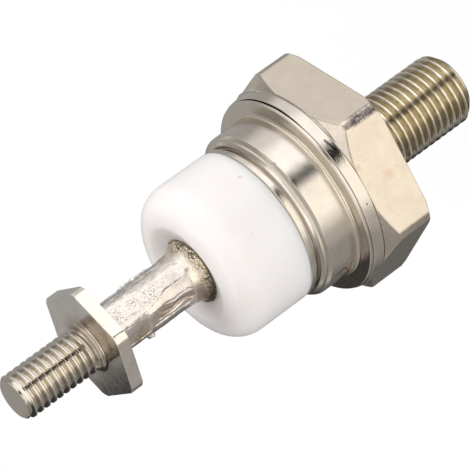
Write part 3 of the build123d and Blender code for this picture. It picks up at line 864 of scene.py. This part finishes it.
def braze_metal():
    """Braze: like the tube's plate above, golden and grainy with black hollows at its outer rim, and painted
    shade on its -Y side.
    """
    made, shader, where = new_material("braze", 1.0, 0.22)
    grains = cell_distance(where, 0.3)
    golden = mix(patches(where, 0.7, 3.0, 0.35, 0.65), (0.95, 0.79, 0.53), (1.0, 0.93, 0.73))
    golden = mix(span(grains, 0.45, 0.7, 0, 0.75), golden, (0.15, 0.11, 0.07))
    golden = mix(patches(where, 0.24, 2.0, 0.55, 0.59, 0.9), golden, (0.05, 0.04, 0.03))
    parts = place_parts(where)
    radius = radius_value(parts)
    uneven = maths("ADD", radius, span(noise_value(where, 0.9, 2.0), 0.3, 0.7, -0.2, 0.2))
    rim = span(uneven, TUBE_RADIUS + 0.3, BRAZE_RADIUS - 0.4)
    plate = span(uneven, TUBE_RADIUS - 0.1, TUBE_RADIUS + 0.4)
    plated = mix(plate, TUBE_PLATE, (0.7, 0.595, 0.47))
    # Painted shade: the braze's plate and golden grain are darkened towards -Y, the side away from the light
    below = span(parts["Y"], -3.6 * MM, -1.6 * MM, 0.9, 0)
    plated = mix(below, plated, (0.3, 0.23, 0.15))
    golden = mix(below, golden, (0.05, 0.036, 0.025))
    outline = span(radius, BRAZE_RADIUS - 0.2, BRAZE_RADIUS - 0.05, 0, 0.8)
    golden = mix(outline, golden, (0.13, 0.1, 0.07))
    mark(shader, golden, maths("SUBTRACT", 1.0, rim), plated)
    bump(shader, times(rim, span(grains, 0, 0.8, 1, 0)), 0.1)
    return made


def ceramic():
    """White glazed alumina with a pink spot, a dark speck and fainter ones."""
    made, shader, where = new_material("alumina", 0.0, 0.25)
    shader.inputs["Specular IOR Level"].default_value = 0.4
    shader.inputs["Subsurface Weight"].default_value = 0.8
    shader.inputs["Subsurface Radius"].default_value = (1.0, 0.9, 0.88)
    shader.inputs["Subsurface Scale"].default_value = 2.5 * MM
    stain = patches(where, 5.0, 3.0, 0.5, 0.75)
    colour = mix(stain, (0.92, 0.87, 0.855), (0.9, 0.835, 0.81))
    faint = times(span(cell_distance(where, 1.6), 0.03, 0.06, 1, 0),
                  patches(where, 2.2, 1.0, 0.6, 0.64), 0.3)
    colour = mark(shader, colour, faint, (0.55, 0.46, 0.42))
    pink = spot(where, on_part(20.5, CERAMIC_RADIUS, 16.9), 0.3, 0.7)
    colour = mark(shader, colour, times(pink, 0.6), (0.75, 0.42, 0.4))
    speck = spot(where, on_part(-15.4, CERAMIC_RADIUS, 20.7), 0.13, 0.9)
    mark(shader, colour, times(speck, 0.5), (0.35, 0.28, 0.26))
    bump(shader, noise_value(where, 0.5, 3.0), 0.004)
    return made


def plain_metal(name, colour, gloss):
    """Metal with soft stains, for the hidden pieces and the seam under the weld ring."""
    made, shader, where = new_material(name, 1.0, gloss)
    stain = patches(where, 1.0, 3.0, 0.3, 0.7)
    shade = mix(stain, tuple(0.85 * c for c in colour), colour)
    link(shade, shader.inputs["Base Color"])
    return made


def dress_hidden_nodes():
    """Gives every CAD node that no piece replaces its material."""
    colours = {slot["slot"]: slot["base_color"] for slot in frame["record"]["materials"]}
    slots = {part["node"]: part["material_slot"] for part in frame["record"]["subparts"]}
    made = {}
    for name, held in frame["nodes"].items():
        if held.hide_render:
            continue
        slot = slots[name]
        if slot not in made:
            made[slot] = plain_metal("hidden_" + slot, tuple(colours[slot]), 0.45)
        held.data.materials.clear()
        held.data.materials.append(made[slot])


def towards(azimuth, elevation):
    """Direction away from the part; azimuth is in degrees from its near side."""
    a, e = radians(azimuth - NEAR_TURN), radians(elevation)
    return Vector((cos(a) * cos(e), sin(a) * cos(e), sin(e)))


def place_panel(panel, azimuth, elevation, distance, middle=PANEL_MIDDLE, roll=0):
    """Puts a panel at a distance in metres from a point of the part, turned to it; roll is in degrees."""
    facing = towards(azimuth, elevation)
    panel.location = Vector(middle) * MM + distance * facing
    panel.rotation_mode = "QUATERNION"
    panel.rotation_quaternion = facing.to_track_quat("Z", "Y") @ Quaternion((0, 0, 1), radians(roll))


def soft_box(name, azimuth, elevation, radiance):
    """Square light panel that faces the part and reflects in nothing."""
    data = bpy.data.lights.new(name, "AREA")
    data.shape = "SQUARE"
    data.size = LAMP_SIZE
    data.energy = radiance * pi * LAMP_SIZE ** 2
    made = bpy.data.objects.new(name, data)
    bpy.context.scene.collection.objects.link(made)
    place_panel(made, azimuth, elevation, LAMP_DISTANCE)
    made.visible_glossy = False


def build_camera():
    """Camera at the photograph's place."""
    tilt, roll, turn = radians(AXIS_TILT), radians(AXIS_ROLL), radians(NEAR_TURN)
    axis = Vector((-sin(tilt) * cos(roll), -sin(tilt) * sin(roll), cos(tilt)))
    near = Vector((cos(tilt) * cos(roll), cos(tilt) * sin(roll), sin(tilt)))
    across = Vector((-sin(roll), cos(roll), 0))
    x_seen = cos(turn) * near + sin(turn) * across
    y_seen = -sin(turn) * near + cos(turn) * across
    turned = Matrix((x_seen, y_seen, axis))
    offset = Vector((*CAMERA_OFFSET, -1)) * CAMERA_DISTANCE * MM
    data = bpy.data.cameras.new("camera")
    data.sensor_width = 36
    data.lens = FOCAL_LENGTH_PX / FRAME_PX * data.sensor_width
    data.clip_start, data.clip_end = 0.01, 20
    made = bpy.data.objects.new("camera", data)
    bpy.context.scene.collection.objects.link(made)
    made.matrix_world = Matrix.Translation(-(turned @ offset)) @ turned.to_4x4()
    bpy.context.scene.camera = made


def sees_background(tree):
    """1 for camera, glossy and transmission rays, which see the white background."""
    path = add("LightPath", {}, tree).outputs
    return together([path["Is Camera Ray"], path["Is Glossy Ray"], path["Is Transmission Ray"]])


def build_world():
    """Even studio surroundings, and a white background."""
    world = bpy.data.worlds.new("studio")
    bpy.context.scene.world = world
    world.use_nodes = True
    tree = world.node_tree
    tree.nodes.clear()
    seen, lit = [add("Background", {"Color": WHITE, "Strength": level}, tree) for level in (1.0, AMBIENT)]
    mixed = add("MixShader", {0: sees_background(tree), 1: lit.outputs[0], 2: seen.outputs[0]})
    add("OutputWorld", {"Surface": mixed.outputs[0]})


def build_floor():
    """Pale round floor under the stud, which fades into the white background and keeps a soft shadow."""
    bm = bmesh.new()
    bmesh.ops.create_circle(bm, cap_ends=True, segments=128, radius=FLOOR_RADIUS)
    bmesh.ops.translate(bm, verts=bm.verts, vec=(0, 0, base_low.z * MM))
    made, shader, where = new_material("floor", 0.0, 0.8)
    tree = made.node_tree
    shader.inputs["Base Color"].default_value = (0.85, 0.85, 0.85, 1)
    fade = span(radius_value(place_parts(where)), 8, 30, 0.97, 1.0)
    white = add("Emission", {"Color": WHITE, "Strength": 1.0}, tree)
    factor = times(fade, sees_background(tree))
    mixed = add("MixShader", {0: factor, 1: shader.outputs[0], 2: white.outputs[0]})
    link(mixed.outputs[0], tree.nodes["Material Output"].inputs["Surface"])
    floor = mesh_object("floor", bm, made)
    floor.visible_glossy = False


def glowing_panel(name, bm, strength):
    """Object that only reflections see, and the shader that makes it glow."""
    paint = bpy.data.materials.new(name)
    paint.use_nodes = True
    tree = paint.node_tree
    tree.nodes.clear()
    glow = add("Emission", {"Color": WHITE, "Strength": strength}, tree)
    add("OutputMaterial", {"Surface": glow.outputs[0]})
    made = mesh_object(name, bm, paint)
    made.visible_camera = made.visible_diffuse = made.visible_shadow = False
    return made, tree, glow


def card(name, azimuth, elevation, distance, width, height, level, middle=PANEL_MIDDLE, roll=0):
    """Flat card turned to the part; sizes are in metres, and level is its brightness."""
    bm = bmesh.new()
    bmesh.ops.create_grid(bm, x_segments=1, y_segments=1, size=0.5)
    made = glowing_panel(name, bm, level)[0]
    place_panel(made, azimuth, elevation, distance, middle, roll)
    made.scale = (width, height, 1)


def surround_colour(tree):
    """Brightness of the surround by direction, as steps that run smoothly into one another."""
    parts = place_parts(add("TexCoord", {}, tree).outputs["Object"])
    turn = maths("ARCTAN2", parts["Y"], parts["X"])
    ramp = add("ValToRGB", {"Fac": span(turn, -pi, pi)})
    shades = [(azimuth, (*(level / SURROUND_PEAK * part for part in tint), 1))
              for first, last, level, tint in SURROUND_STEPS for azimuth in (first, last)]
    stops = ramp.color_ramp.elements
    stops[0].position, stops[1].position = 0, 1
    stops[0].color = stops[1].color = shades[0][1]
    for azimuth, shade in shades[1:]:
        stops.new((azimuth + 180) / 360).color = shade
    return ramp.outputs["Color"]


def build_surround():
    """Wall round the part that only reflections see: bright in front, dark behind."""
    bm = bmesh.new()
    angles = even_angles(72)
    rings = [placed(SURROUND_RADIUS * cos(e), SURROUND_RADIUS * sin(e) + 0 * angles, angles)
             for e in np.linspace(radians(-56), radians(13), 9)]
    made = [[bm.verts.new(point) for point in ring] for ring in rings]
    for lower, upper in zip(made, made[1:]):
        for j in range(len(lower)):
            k = (j + 1) % len(lower)
            bm.faces.new((lower[j], lower[k], upper[k], upper[j]))
    wall, tree, glow = glowing_panel("surround", bm, SURROUND_PEAK)
    link(surround_colour(tree), glow.inputs["Color"])
    wall.location = Vector(PANEL_MIDDLE) * MM
    wall.rotation_euler = (0, 0, -radians(NEAR_TURN))


def build_cards():
    """Grey cards above and behind the part, and dark ones that part the bright front."""
    card("can_gap_card", 16, -24, 0.16, 0.042, 0.05, 0.12, middle=(0, 0, 14), roll=20)
    card("post_gap_card", 11.6, -20.6, 0.16, 0.042, 0.066, 0.0, middle=(0, 0, 47), roll=-51)
    card("stud_gap_card", 15.5, -31, 0.15, 0.03, 0.042, 0.05, middle=(0, 0, -10), roll=-15)
    card("stud_gap_edge", 15.5, -31, 0.16, 0.066, 0.044, 0.5, middle=(0, 0, -10), roll=-15)
    card("low_card", 27, -39, 0.5, 0.32, 0.14, 2.3, middle=(0, 0, 30))
    card("high_far_card", 115, 45, 0.72, 0.7, 0.75, 0.4)
    card("high_low_card", -115, 45, 0.72, 0.9, 0.75, 0.36)
    card("top_card", 180, 38, 0.62, 0.9, 0.6, 0.45)
    card("front_card", 0, 60, 0.62, 0.9, 0.27, 0.55)
    card("zenith_card", 0, 93, 0.6, 0.7, 0.42, 1.7)
    card("near_card", 180, 24, 0.1, 0.059, 0.17, 0.05, middle=(-7, -33, 28))


def build_lights():
    """Soft boxes for the diffuse light."""
    soft_box("key_box", 12, -10, 2.05)
    soft_box("front_box", 50, 55, 1.4)
    soft_box("upper_box", 98, 35, 2.6)
    soft_box("low_box", -70, 10, 1.6)


base_and_stud(base_metal())
braze_line(plain_metal("braze_line", (0.7, 0.64, 0.55), 0.2))
weld_collar(ring_metal())
can_shell(can_metal())
seal_groove(plated_metal("plated_seal", NICKEL, DARK_NICKEL, 0.14)[0])
insulator_body(ceramic())
crimped_tube(tube_metal())
braze_collar(braze_metal())
terminal_post(post_metal())
dress_hidden_nodes()
build_world()
build_floor()
build_surround()
build_cards()
build_lights()
build_camera()
bpy.context.scene.view_settings.view_transform = "Standard"
